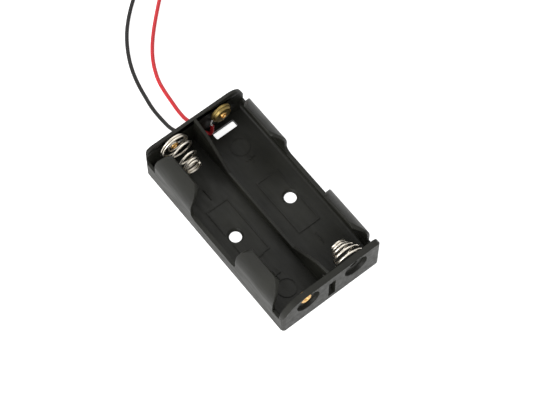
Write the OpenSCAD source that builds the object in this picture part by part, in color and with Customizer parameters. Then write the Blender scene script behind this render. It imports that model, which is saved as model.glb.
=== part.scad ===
// Two-bay cylindrical cell holder with two wire leads.
// X runs across the bays, Y along the cells, Z up. The origin is the centre of the base.

/* [Cells] */
// Diameter of one cell
cell_d = 14.5; // [10:0.1:18]
// Radial clearance between a cell and the wall of its bay
cell_gap = 0.075; // [0.05:0.025:0.4]

/* [Tray] */
// Overall length, over both end walls
tray_l = 58; // [46:0.5:80]
// Overall width, over both side walls
tray_w = 31.8; // [31.8:0.1:44]
// Thickness of the floor
floor_t = 1.2; // [0.8:0.1:2.4]
// Height of the end walls
end_wall_h = 12.3; // [11:0.1:15]
// Thickness of the near end wall, which carries the spring that joins the cells
near_wall_t = 1.8; // [1.2:0.1:3]
// Thickness of the far end wall, where the leads come out
far_wall_t = 1; // [0.8:0.1:3]
// Radius of the corners of the tray in plan
plan_corner_r = 1.1; // [0.5:0.1:2]
// Radius of the near wall's top corner on the contact side
near_contact_corner_r = 6.5; // [1:0.1:7]
// Radius of the near wall's top corner on the spring side
near_spring_corner_r = 1.7; // [1:0.1:7]
// Radius of the far wall's top corner on the contact side
far_contact_corner_r = 4.6; // [1:0.1:7]
// Radius of the far wall's top corner on the spring side
far_spring_corner_r = 2.8; // [1:0.1:7]

/* [Side walls and lips] */
// Height of the low stretch of the side walls
low_wall_h = 5; // [3:0.1:7]
// Thickness of the low stretch of the side walls
low_wall_t = 1.2; // [0.8:0.1:2]
// Height of the side wall in the notch beside each end wall
notch_h = 5.8; // [4:0.1:8]
// Thickness of the four retaining lips
lip_t = 0.85; // [0.6:0.05:1.5]
// Angle above level at which the lips end, seen from the cell's axis
lip_angle = 58; // [35:1:65]
// Length of each lip along the tray
lip_l = 15.3; // [10:0.1:18]
// Width of the notch between a lip and its end wall
notch_w = 2.6; // [1:0.1:5]
// Radius of a lip's corner next to the end wall
lip_outer_r = 5; // [2:0.1:6]
// Radius of a lip's corner towards the middle of the tray
lip_inner_r = 4; // [2:0.1:6]
// Radius of the fillet where a lip runs out into the low wall
lip_foot_r = 1.8; // [0.5:0.1:2.5]

/* [Divider] */
// Thickness of the rib between the bays
divider_t = 0.8; // [0.6:0.1:1.4]
// Height of the divider in the middle of the tray
divider_low_h = 3.9; // [2:0.1:7]
// Height of the divider at the end of its raised part
divider_high_h = 10.8; // [8:0.1:12]
// Distance from the middle of the tray to the foot of the slope
divider_foot_y = 13.4; // [8:0.1:15]
// Distance from the middle of the tray to the top of the slope
divider_top_y = 22.5; // [16:0.1:24]

/* [Openings in the tray] */
// Diameter of the two screw holes
screw_hole_d = 3.4; // [2:0.1:4.5]
// Diameter of the countersinks
countersink_d = 5; // [3:0.1:6.5]
// Depth of the countersinks
countersink_depth = 0.6; // [0.2:0.1:0.8]
// Distance between the two screw holes, across the tray
screw_pitch = 18.2; // [14:0.1:20]
// Place of the screw holes along the tray
screw_y = -0.7; // [-5:0.1:5]
// Width of the floor slot under the positive contact
slot_w = 7; // [4:0.1:9]
// Length of the floor slot, along the tray
slot_l = 2.3; // [1:0.1:4]
// Distance from the far wall's inner face to the floor slot
slot_inset = 1.4; // [1:0.1:4]
// Radius of the floor slot's corners
slot_corner_r = 0.4; // [0.2:0.1:1]
// Radius of the round recesses in the near wall's outer face
recess_r = 3.6; // [3:0.1:3.7]
// Depth of the round recesses
recess_depth = 1; // [0.2:0.1:1.1]
// Width of the window in the near wall, in line with the divider
window_w = 2.2; // [1.2:0.1:3]
// Lowest level of the window
window_z = 1.6; // [1.3:0.1:3]
// Height of the window
window_h = 7.8; // [4:0.1:8.5]
// Depth of the notch that the window opens in the divider
window_notch = 1.5; // [1:0.1:4]

/* [Raised marks] */
// Height of the raised marks on the floor
mark_h = 0.25; // [0.05:0.05:0.3]
// Width of the raised lines
mark_line = 0.3; // [0.2:0.05:0.6]
// Width of the outlined panel in each bay
panel_w = 7; // [4:0.1:9]
// Length of the outlined panel in each bay
panel_l = 18.1; // [10:0.1:24]
// Distance from the screw hole to the middle of the panel, towards the negative sign
panel_shift = 0.75; // [0:0.05:2]
// Size of the polarity signs
sign_size = 3.6; // [1.5:0.1:4]
// Distance from the middle of the tray to the signs
sign_y = 14.5; // [12:0.1:16]
// Diameter of the ring beyond each positive sign
ring_d = 5.5; // [3:0.1:6]
// Distance from the middle of the tray to the ring's centre
ring_y = 18.9; // [16:0.1:20]

/* [Contacts] */
// Diameter of the positive contact over its foot
cup_d = 6.1; // [5:0.1:7.5]
// Diameter of the contact's crown
crown_d = 5; // [4:0.1:6]
// Height of the contact's crown above its foot
cup_h = 1.45; // [0.9:0.05:2]
// Height of the step round the crown, above the foot
cup_step_h = 0.75; // [0.4:0.05:0.8]
// Thickness of the contact sheet
sheet_t = 0.3; // [0.2:0.05:0.35]
// Diameter of the eyelet holes in the end walls
wall_hole_d = 1.9; // [1.6:0.1:2.4]
// Diameter of the near wall's open hole, behind the spring
open_hole_d = 2.4; // [1.6:0.1:3]
// Outer diameter of an eyelet's barrel
barrel_d = 1.5; // [1.2:0.1:1.8]
// Clearance of a barrel in a sheet or a wire eye, on the radius
barrel_gap = 0.05; // [0.05:0.01:0.2]
// Diameter of an eyelet's rolled flange, on the wall's outer side
flange_d = 3.3; // [2.4:0.1:4]
// Thickness of an eyelet's flanges
flange_t = 0.35; // [0.2:0.05:0.5]
// Diameter of the head of the eyelet in the contact
cup_head_d = 2.1; // [1.8:0.1:2.4]
// Diameter of the head of an eyelet on a wire eye
wire_head_d = 2.3; // [2:0.1:3.4]
// Bore of the eyelets
eyelet_bore = 0.9; // [0.5:0.1:1]

/* [Springs] */
// Wire diameter of the springs
spring_wire_d = 0.6; // [0.4:0.05:0.9]
// Outer diameter of a spring's base coil
spring_base_d = 8.6; // [6:0.1:11]
// Outer diameter of a spring's tip coil
spring_tip_d = 4.8; // [4:0.1:8]
// Free height of the far wall's spring above its seat
wired_spring_h = 9.3; // [7:0.1:11]
// Free height of the near wall's spring above its seat
linked_spring_h = 5.9; // [5:0.1:9]

/* [Leads] */
// Diameter of the leads over the insulation
lead_d = 1.1; // [0.8:0.05:1.6]
// Diameter of the tinned conductor
conductor_d = 0.6; // [0.3:0.05:0.8]
// Distance from the divider to each lead's hole
lead_hole_x = 2.3; // [1.7:0.1:3.5]
// Level of the leads' holes
lead_hole_z = 2.6; // [2.2:0.1:4]
// Clearance of a lead in its hole, on the radius
lead_gap = 0.1; // [0.05:0.01:0.3]
// Length of the bare tinned tips
tip_l = 4.5; // [2:0.5:8]

/* [Hidden] */
$fn = 64;

// Small overlap that makes cuts and joins clean.
eps = 0.01;
// More than any height or depth of the tray, for cuts that go right through.
through = 100;

bay_r = cell_d / 2 + cell_gap;
bay_x = tray_w / 2 - lip_t - bay_r;
axis_z = floor_t + bay_r;
near_face = -tray_l / 2 + near_wall_t;
far_face = tray_l / 2 - far_wall_t;
lip_end = min(-near_face, far_face) - notch_w;
lip_start = lip_end - lip_l;
lip_top = axis_z + (bay_r + lip_t) * sin(lip_angle);
spring_base_r = (spring_base_d - spring_wire_d) / 2;
spring_tip_r = (spring_tip_d - spring_wire_d) / 2;
spring_eye_r = (barrel_d + spring_wire_d) / 2 + barrel_gap;
conductor_eye_r = (barrel_d + conductor_d) / 2 + barrel_gap;
// Level of the far wall's contact and spring above the wall: they sit on the conductors' eyes.
seat_h = conductor_d;

// Routes of the free leads, from the far wall's holes to their coils, chosen by hand.
red_route = [
    [2.3, 29, 2.6], [2.3, 30.2, 2.6], [1.9, 31.6, 2.3], [1.5, 33, 1.9], [1.3, 34.6, 1.4],
    [1.35, 36.4, 0.95], [1.5, 38.4, 0.65], [1.8, 41.4, 0.6], [2.2, 45, 0.6], [2.8, 48.2, 0.6],
    [3.9, 51.3, 0.6], [5.5, 54.5, 0.6], [7.6, 57.6, 0.6], [10.2, 60.7, 0.6], [13.1, 63.7, 0.6],
    [15.8, 66.3, 0.6], [18.4, 68.7, 0.6], [21.2, 71.2, 0.6], [24, 73.8, 0.65], [27, 76.5, 0.7]
];
black_route = [
    [-2.3, 29, 2.6], [-2.3, 30.2, 2.6], [-2.7, 31.6, 2.3], [-3.2, 33.2, 1.9], [-3.55, 35, 1.4],
    [-3.6, 37, 0.95], [-3.6, 39.4, 0.65], [-3.5, 42.8, 0.6], [-3, 46.2, 0.6], [-2.4, 49.6, 0.6],
    [-1.6, 52.9, 0.6], [-0.5, 56.2, 0.6], [0.9, 59.3, 0.6], [2.6, 62.3, 0.6], [4.6, 65.2, 0.6],
    [7, 68, 0.6], [9.8, 70.7, 0.6], [12.8, 73.2, 0.6], [16.1, 75.9, 0.65], [19.5, 78.7, 0.7]
];
// Routes of the leads inside the tray, from each hole's inner end: across, away from the wall, and up.
red_inner_route = [
    [0, 0, 0], [0.15, 0.4, -0.05], [0.5, 0.9, -0.15], [1, 1.4, -0.2], [1.4, 1.65, 0], [1.7, 1.7, 0.5],
    [1.9, 1.55, 1.2], [2.1, 1.35, 1.9], [2.2, 1.2, 2.5]
];
black_inner_route = [
    [0, 0, 0], [0, 0.4, 0.05], [0.1, 0.75, 0.35], [0.35, 0.95, 0.9], [0.6, 1, 1.5], [0.8, 1, 2]
];
// Routes of the bare conductors from there to their eyes, in the same way, but measured from where the
// conductor lies flat on the wall.
red_bare_route = [[2.25, 0.45, 2.8], [2.5, 0.1, 3.15], [3, 0, 3.6]];
black_bare_route = [[0.95, 0.5, 2.5], [1.3, 0.1, 3], [1.9, 0, 3.5]];
// Flat coils at the leads' ends: radius of the outer turn, number of turns and distance between them.
coil_r = 7.4;
coil_turns = 2.35;
coil_room = 0.05;
coil_pitch = lead_d + coil_room;
coil_outer_r = coil_r + lead_d / 2 + coil_room;
coil_inner_r = coil_r - coil_turns * coil_pitch - lead_d / 2 - coil_room;
coil_level = 0.7;
coil_h = coil_level + lead_d / 2;
// Gap between a bare tip and the solid of its coil, and the tip's turn from the coil's radius.
tip_gap = 0.1;
tip_turn = 130;
// Width of the bevels on the contact's and the eyelets' edges.
sheet_edge = 0.1;
// Part of a polarity sign's size that its plus takes, and part of a panel's width that its name line takes.
plus_part = 0.85;
name_part = 1 / 3;
// Points in one turn of a spring's path, and the angle at which the wired spring's base coil starts.
steps_per_turn = 20;
wired_start = 30;
// Angle that the linked spring's eye wraps round its eyelet, and its step.
link_eye_wrap = 285;
link_eye_step = 15;
// First and last angle of a conductor's eye, and its step.
bare_eye_start = -80;
bare_eye_end = 160;
bare_eye_step = 20;
// Length of conductor that runs straight out of its insulation.
bare_start = 0.2;
// Colours.
black_plastic = [0.16, 0.16, 0.15];
brass = [0.78, 0.62, 0.32];
gold_brass = [0.85, 0.6, 0.3];
nickel = [0.8, 0.8, 0.78];
tinned = [0.8, 0.8, 0.8];
red = [0.85, 0.1, 0.12];
black = [0.1, 0.1, 0.1];

// --- helpers ---------------------------------------------------------------

// Puts what is drawn upwards from the origin on an end wall, at level z. Upwards becomes into the tray:
// inward is 1 on the near wall and -1 on the far wall.
module on_wall(x, y, z, inward) {
    translate([x, y, z]) rotate([-90 * inward, 0, 0]) children();
}

// Extrudes an outline drawn in X and Z along Y, from y0 to y1.
module along_y(y0, y1) {
    translate([0, y1, 0]) rotate([90, 0, 0]) linear_extrude(y1 - y0) children();
}

// Extrudes an outline drawn in Y and Z along X, from x0 to x1.
module along_x(x0, x1) {
    translate([x0, 0, 0]) rotate([90, 0, 90]) linear_extrude(x1 - x0) children();
}

// Square with its four corners rounded, centred.
module rounded_square(w, l, r) {
    square([w - 2 * r, l], center = true);
    square([w, l - 2 * r], center = true);
    for (sx = [-1, 1], sy = [-1, 1]) translate([sx * (w / 2 - r), sy * (l / 2 - r)]) circle(r);
}

// Outline from the base up to h, from x0 to x1, with its own radius on each top corner.
module round_topped(x0, x1, h, r0, r1) {
    difference() {
        translate([x0, 0]) square([x1 - x0, h]);
        translate([x0 - eps, h - r0]) square([r0 + eps, r0 + eps]);
        translate([x1 - r1, h - r1]) square([r1 + eps, r1 + eps]);
    }
    intersection() {
        translate([x0 + r0, h - r0]) circle(r0);
        translate([x0, h - r0]) square([r0, r0]);
    }
    intersection() {
        translate([x1 - r1, h - r1]) circle(r1);
        translate([x1 - r1, h - r1]) square([r1, r1]);
    }
}

function unit(v) = v / norm(v);

// One ring of a swept tube, square to the direction d, with one of its axes along side.
function ring(p, d, side, r, n) =
    let (u = unit(side - (side * d) * d), v = cross(d, u))
    [for (i = [0 : n - 1]) p + r * (cos(360 * i / n) * u + sin(360 * i / n) * v)];

// Closed tube through a list of rings of n points each.
module skin(rings, n) {
    count = len(rings);
    points = [for (one = rings) each one];
    sides = [
        for (k = [0 : count - 2], i = [0 : n - 1])
        let (a = k * n + i, b = k * n + (i + 1) % n)
        each [[a, b + n, b], [a, a + n, b + n]]
    ];
    near_cap = [for (i = [0 : n - 1]) i];
    far_cap = [for (i = [n - 1 : -1 : 0]) (count - 1) * n + i];
    polyhedron(points, concat(sides, [near_cap, far_cap]));
}

function heading(path, k) = unit(path[min(k + 1, len(path) - 1)] - path[max(k - 1, 0)]);

// Round tube of diameter d along a path that never runs along the direction side, with which it lines up.
module tube(path, d, side = [0, 0, 1]) {
    sides = 8;
    skin([for (k = [0 : len(path) - 1]) ring(path[k], heading(path, k), side, d / 2, sides)], sides);
}

// --- tray ------------------------------------------------------------------

module end_walls() {
    along_y(-tray_l / 2, near_face)
        round_topped(-tray_w / 2, tray_w / 2, end_wall_h, near_contact_corner_r, near_spring_corner_r);
    along_y(far_face, tray_l / 2)
        round_topped(-tray_w / 2, tray_w / 2, end_wall_h, far_spring_corner_r, far_contact_corner_r);
}

module low_walls() {
    for (side = [-1, 1]) {
        translate([side * (tray_w - low_wall_t) / 2 - low_wall_t / 2, near_face - eps, 0])
            cube([low_wall_t, far_face - near_face + 2 * eps, low_wall_h]);
        for (span = [[near_face - eps, -lip_end + lip_outer_r], [lip_end - lip_outer_r, far_face + eps]])
            translate([side * (tray_w - lip_t) / 2 - lip_t / 2, span[0], 0])
                cube([lip_t, span[1] - span[0], notch_h]);
    }
}

// Section of a side wall with its lip: upright to the cell's axis, then round the cell.
module lip_section() {
    translate([tray_w / 2 - lip_t, 0]) square([lip_t, axis_z]);
    reach = 2 * (bay_r + lip_t);
    translate([bay_x, axis_z]) intersection() {
        difference() {
            circle(bay_r + lip_t);
            circle(bay_r);
        }
        polygon([[0, 0], [reach, -eps], reach * [cos(lip_angle), sin(lip_angle)]]);
    }
}

// Side view of a lip, with a fillet where it runs out into the low wall.
module lip_outline() {
    round_topped(lip_start, lip_end, lip_top + eps, lip_inner_r, lip_outer_r);
    difference() {
        translate([lip_start - lip_foot_r, low_wall_h - eps]) square([lip_foot_r + eps, lip_foot_r + eps]);
        translate([lip_start - lip_foot_r, low_wall_h + lip_foot_r]) circle(lip_foot_r);
    }
}

module lip() {
    intersection() {
        along_y(lip_start - lip_foot_r, lip_end) lip_section();
        along_x(bay_x, tray_w / 2 + eps) lip_outline();
    }
}

module lips() {
    for (sx = [0, 1], sy = [0, 1]) mirror([sx, 0, 0]) mirror([0, sy, 0]) lip();
}

// The rib between the bays: low in the middle, rising to the end walls.
module divider() {
    along_x(-divider_t / 2, divider_t / 2) polygon([
        [near_face - eps, 0], [near_face - eps, end_wall_h], [-divider_top_y, divider_high_h],
        [-divider_foot_y, divider_low_h], [divider_foot_y, divider_low_h],
        [divider_top_y, divider_high_h], [far_face + eps, end_wall_h], [far_face + eps, 0]
    ]);
}

module frame_line(w, l) {
    difference() {
        square([w, l], center = true);
        square([w - 2 * mark_line, l - 2 * mark_line], center = true);
    }
}

// Marks of one bay, drawn for a cell whose positive end is at +Y.
module bay_marks() {
    translate([0, screw_y]) difference() {
        translate([0, -panel_shift]) frame_line(panel_w, panel_l);
        circle(d = countersink_d);
    }
    translate([0, panel_l / 2 + screw_y - panel_shift])
        square([panel_w * name_part, 2 * mark_line], center = true);
    translate([0, sign_y]) {
        square([sign_size * plus_part, mark_line], center = true);
        square([mark_line, sign_size * plus_part], center = true);
    }
    translate([0, ring_y]) difference() {
        circle(d = ring_d);
        circle(d = ring_d - 2 * mark_line);
    }
    translate([0, -sign_y]) square([mark_line, sign_size], center = true);
}

module marks() {
    translate([0, 0, floor_t - eps]) linear_extrude(mark_h + eps) {
        translate([bay_x, 0]) bay_marks();
        translate([-bay_x, 0]) rotate(180) translate([0, -2 * screw_y]) bay_marks();
    }
}

// A screw hole with its countersink, cut from the floor's upper face.
module screw_hole() {
    translate([0, 0, -eps]) cylinder(d = screw_hole_d, h = through);
    translate([0, 0, floor_t - countersink_depth])
        cylinder(d1 = screw_hole_d, d2 = countersink_d, h = countersink_depth + eps);
    translate([0, 0, floor_t]) cylinder(d = countersink_d, h = 2 * mark_h);
}

module floor_slot() {
    translate([0, 0, -eps]) linear_extrude(floor_t + 2 * eps) rounded_square(slot_w, slot_l, slot_corner_r);
}

// Holes of the end walls, recesses of the near wall, the floor slot, the window and the screw holes.
module tray_cuts() {
    for (side = [-1, 1]) {
        translate([side * screw_pitch / 2, screw_y, 0]) screw_hole();
        on_wall(side * bay_x, -tray_l / 2 - eps, axis_z, 1) {
            cylinder(r = recess_r, h = recess_depth + eps);
            cylinder(d = side < 0 ? wall_hole_d : open_hole_d, h = near_wall_t + 2 * eps);
        }
        on_wall(side * bay_x, tray_l / 2 + eps, axis_z, -1)
            cylinder(d = wall_hole_d, h = far_wall_t + 2 * eps);
        on_wall(side * lead_hole_x, tray_l / 2 + eps, lead_hole_z, -1)
            cylinder(d = lead_d + 2 * lead_gap, h = far_wall_t + 2 * eps);
    }
    translate([bay_x, far_face - slot_inset - slot_l / 2, 0]) floor_slot();
    translate([-window_w / 2, -tray_l / 2 - eps, window_z])
        cube([window_w, near_wall_t + window_notch + eps, window_h]);
}

module tray() {
    color(black_plastic) difference() {
        intersection() {
            union() {
                translate([-tray_w / 2, -tray_l / 2, 0]) cube([tray_w, tray_l, floor_t]);
                end_walls();
                low_walls();
                lips();
                divider();
                marks();
            }
            linear_extrude(through) rounded_square(tray_w, tray_l, plan_corner_r);
        }
        tray_cuts();
    }
}

// --- contacts --------------------------------------------------------------

// Stamped contact: a foot ring, a step and a crown with a hole for the eyelet, drawn upwards from its foot.
module contact_cup() {
    edge = sheet_edge;
    slope = 2 * sheet_edge;
    foot_r = cup_d / 2;
    crown_r = crown_d / 2;
    hole_r = barrel_d / 2 + barrel_gap;
    rotate_extrude() polygon([
        [hole_r, cup_h], [crown_r - edge, cup_h], [crown_r, cup_h - edge], [crown_r + slope, cup_step_h],
        [foot_r - edge, cup_step_h], [foot_r, cup_step_h - edge], [foot_r, 0], [foot_r - sheet_t, 0],
        [foot_r - sheet_t, cup_step_h - sheet_t], [crown_r + slope - sheet_t, cup_step_h - sheet_t],
        [crown_r - sheet_t, cup_h - sheet_t], [hole_r, cup_h - sheet_t]
    ]);
}

// Eyelet through an end wall: grip is from the face under its flange to the seat of its inner head.
module eyelet(grip, head_d) {
    edge = sheet_edge;
    rotate_extrude() polygon([
        [eyelet_bore / 2, -flange_t], [flange_d / 2 - edge, -flange_t], [flange_d / 2, -flange_t + edge],
        [flange_d / 2, 0], [barrel_d / 2, 0], [barrel_d / 2, grip], [head_d / 2, grip],
        [head_d / 2, grip + flange_t - edge], [head_d / 2 - edge, grip + flange_t],
        [eyelet_bore / 2, grip + flange_t]
    ]);
}

module positive_contact() {
    color(brass) on_wall(bay_x, far_face - seat_h, axis_z, -1) contact_cup();
}

module positive_eyelet() {
    color(gold_brass) on_wall(bay_x, tray_l / 2, axis_z, -1)
        eyelet(far_wall_t + seat_h + cup_h, cup_head_d);
}

module spring_eyelet() {
    color(gold_brass) on_wall(-bay_x, tray_l / 2, axis_z, -1)
        eyelet(far_wall_t + seat_h + spring_wire_d, wire_head_d);
}

module link_eyelet() {
    color(gold_brass) on_wall(-bay_x, -tray_l / 2 + recess_depth, axis_z, 1)
        eyelet(near_wall_t - recess_depth + spring_wire_d, wire_head_d);
}

// --- springs ---------------------------------------------------------------

// Radius between that of the tip coil, at part 0, and that of the base coil, at part 1.
function cone_r(part) = spring_tip_r + part * (spring_base_r - spring_tip_r);

// Each spring's rows give the turns from the start of its base coil, the wire's radius there and its level:
// a closed base coil, open turns that narrow, and a closed tip coil.
wired_rows = [
    [-1.2, spring_eye_r, 0.5 * spring_wire_d], [-0.7, spring_eye_r, 0.5 * spring_wire_d],
    [0, cone_r(1), 0.5 * spring_wire_d], [0.55, cone_r(1), 0.5 * spring_wire_d],
    [0.95, cone_r(1), 1.6 * spring_wire_d], [1.45, cone_r(1), 1.65 * spring_wire_d],
    [2.2, cone_r(0.87), 0.39 * wired_spring_h], [3.2, cone_r(0.42), 0.67 * wired_spring_h],
    [4.2, cone_r(0.08), wired_spring_h - 2.65 * spring_wire_d],
    [5.2, cone_r(0), wired_spring_h - 1.55 * spring_wire_d],
    [6, cone_r(0), wired_spring_h - 0.5 * spring_wire_d]
];
linked_rows = [
    [0, cone_r(1), 0.5 * spring_wire_d], [0.25, cone_r(1), 0.5 * spring_wire_d],
    [1, cone_r(1), 0.25 * linked_spring_h], [2, cone_r(0.68), 0.51 * linked_spring_h],
    [3, cone_r(0.21), 0.74 * linked_spring_h], [3.7, cone_r(0), linked_spring_h - 1.6 * spring_wire_d],
    [4.7, cone_r(0), linked_spring_h - 0.5 * spring_wire_d]
];

// Path of a spring's wire from a start angle, wound anticlockwise for way 1 and clockwise for way -1.
function spring_path(rows, start, way) =
    let (
        radii = [for (row = rows) [row[0], row[1]]], levels = [for (row = rows) [row[0], row[2]]],
        first = rows[0][0], last = rows[len(rows) - 1][0], steps = round((last - first) * steps_per_turn)
    )
    [
        for (k = [0 : steps])
        let (turn = first + (last - first) * k / steps, a = start + way * 360 * turn, r = lookup(turn, radii))
        [r * cos(a), r * sin(a), lookup(turn, levels)]
    ];

// Spring of the black lead: its inner eye is held on the wall by its eyelet.
module wired_spring() {
    color(nickel) on_wall(-bay_x, far_face - seat_h, axis_z, -1)
        tube(spring_path(wired_rows, wired_start, 1), spring_wire_d);
}

// Spring that joins the cells: a straight leg runs from its base coil, past the divider, to an eye that is
// held by the other bay's eyelet. The leg touches both circles, so it starts and ends at the same angle.
module linked_spring() {
    leg_angle = 90 + asin((spring_base_r - spring_eye_r) / (2 * bay_x));
    eye = [
        for (a = [link_eye_wrap : -link_eye_step : 0])
        [
            -2 * bay_x + spring_eye_r * cos(leg_angle + a), spring_eye_r * sin(leg_angle + a),
            spring_wire_d / 2
        ]
    ];
    color(nickel) on_wall(bay_x, near_face, axis_z, 1)
        tube(concat(eye, spring_path(linked_rows, leg_angle, -1)), spring_wire_d);
}

// --- wires inside the tray ---------------------------------------------------

// Points inside the tray: side is 1 for the red lead, -1 for the black.
function inside(side, route) = [
    for (p = route) [side * (lead_hole_x + p[0]), far_face - p[1], lead_hole_z + p[2]]
];

// Lead from the outer face of the far wall to the end of its insulation.
function wire_end_route(side, route) =
    concat([[side * lead_hole_x, tray_l / 2, lead_hole_z]], inside(side, route));

// Bare conductor from the end of the insulation, once round the eyelet's barrel, flat on the wall.
function conductor_route(side, covered, bare) =
    let (
        wire_end = wire_end_route(side, covered), last = wire_end[len(wire_end) - 1],
        out = unit(last - wire_end[len(wire_end) - 2])
    )
    concat([last, last + bare_start * out], [for (p = inside(side, bare)) p - [0, conductor_d / 2, 0]], [
        for (a = [bare_eye_start : bare_eye_step : bare_eye_end])
        [
            side * (bay_x + conductor_eye_r * cos(a)), far_face - conductor_d / 2,
            axis_z + conductor_eye_r * sin(a)
        ]
    ]);

module wire_end(side, route) {
    tube(wire_end_route(side, route), lead_d, [side, 1, 0]);
}

module conductor(side, covered, bare) {
    tube(conductor_route(side, covered, bare), conductor_d, [0, 1, 0]);
}

module red_wire_end() {
    color(red) wire_end(1, red_inner_route);
}

module red_conductor() {
    color(tinned) conductor(1, red_inner_route, red_bare_route);
}

module black_wire_end() {
    color(black) wire_end(-1, black_inner_route);
}

module black_conductor() {
    color(tinned) conductor(-1, black_inner_route, black_bare_route);
}

// --- free leads ----------------------------------------------------------------

// Middle of the coil that a route runs into: side is 1 for a coil on its left, -1 on its right.
function coil_centre(route, side) =
    let (last = route[len(route) - 1], d = unit(last - route[len(route) - 2]))
    [last[0] - side * coil_r * d[1], last[1] + side * coil_r * d[0]];

// Solid that the flat coil of a lead fills.
module coil(route, side) {
    translate(coil_centre(route, side)) rotate_extrude()
        translate([coil_inner_r, 0]) square([coil_outer_r - coil_inner_r, coil_h]);
}

// Bare end of a lead's conductor, pointing into the middle of its coil.
module tip(route, side) {
    centre = coil_centre(route, side);
    last = route[len(route) - 1];
    start = atan2(last[1] - centre[1], last[0] - centre[0]) + side * 360 * coil_turns;
    translate([centre[0], centre[1], coil_level]) rotate(start)
        translate([coil_inner_r - tip_gap - conductor_d / 2, 0, 0])
        rotate([0, 90, side * tip_turn]) cylinder(d = conductor_d, h = tip_l);
}

module red_lead() {
    color(red) tube(red_route, lead_d);
}

module red_coil() {
    color(red) coil(red_route, -1);
}

module red_tip() {
    color(tinned) tip(red_route, -1);
}

module black_lead() {
    color(black) tube(black_route, lead_d);
}

module black_coil() {
    color(black) coil(black_route, 1);
}

module black_tip() {
    color(tinned) tip(black_route, 1);
}

tray();
positive_contact();
positive_eyelet();
wired_spring();
spring_eyelet();
linked_spring();
link_eyelet();
red_wire_end();
red_conductor();
black_wire_end();
black_conductor();
red_lead();
red_coil();
red_tip();
black_lead();
black_coil();
black_tip();
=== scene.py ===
"""Two-bay cell holder: the looks of the moulded tray, its contacts, springs, eyelets and wire leads.

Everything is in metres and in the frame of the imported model: X across the bays, Y along the cells towards
the leads, Z up. Places come from the frame's boxes, and the sizes of added detail are fields of each class.
"""

import logging
import math
from collections.abc import Sequence
from dataclasses import dataclass, field
from enum import Enum

import bmesh
import bpy
from mathutils import Matrix, Vector

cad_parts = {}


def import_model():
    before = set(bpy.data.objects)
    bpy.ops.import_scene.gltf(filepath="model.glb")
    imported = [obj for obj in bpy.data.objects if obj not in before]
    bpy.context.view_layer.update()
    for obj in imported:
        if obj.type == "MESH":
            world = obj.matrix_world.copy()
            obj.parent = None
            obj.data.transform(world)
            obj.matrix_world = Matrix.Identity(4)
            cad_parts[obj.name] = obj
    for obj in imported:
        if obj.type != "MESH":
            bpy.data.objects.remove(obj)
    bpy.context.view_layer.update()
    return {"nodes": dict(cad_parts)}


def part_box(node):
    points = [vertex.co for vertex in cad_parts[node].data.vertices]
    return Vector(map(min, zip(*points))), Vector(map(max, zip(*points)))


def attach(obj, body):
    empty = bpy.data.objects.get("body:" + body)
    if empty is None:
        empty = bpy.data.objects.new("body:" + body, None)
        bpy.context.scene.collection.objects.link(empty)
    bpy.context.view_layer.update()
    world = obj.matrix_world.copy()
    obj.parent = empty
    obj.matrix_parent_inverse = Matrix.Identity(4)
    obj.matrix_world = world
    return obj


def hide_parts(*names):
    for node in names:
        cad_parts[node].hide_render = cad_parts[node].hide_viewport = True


LOG = logging.getLogger("cell_holder")
BODY = "root"
MM = 0.001
# Points nearer than this are one, in metres.
WELD = 1e-7
# Places nearer than this to a line count as on it, in metres.
ON_LINE = 1e-6
# Edges that turn by more than this are shaded as corners.
CORNER = math.radians(50)
# Edges of a turned piece that turn by more than this are rounded, in this many steps.
TURNED_EDGE = math.radians(25)
TURNED_EDGE_STEPS = 3
# Steps in the full turn of a turned piece.
TURN_STEPS = 64
# Strands that lie round the middle one in a conductor.
OUTER_STRANDS = 6
# The middle of a noise's range, where nearly all its values lie.
NOISE_LOW, NOISE_HIGH = 0.3, 0.7
# Sockets of a colour mix: its two colours and its result.
COLOUR_A, COLOUR_B, COLOUR_OUT = 6, 7, 2
# A colour, or a place.
Triple = tuple[float, float, float]
Socket = bpy.types.NodeSocket


# --- finishes ----------------------------------------------------------------


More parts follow.
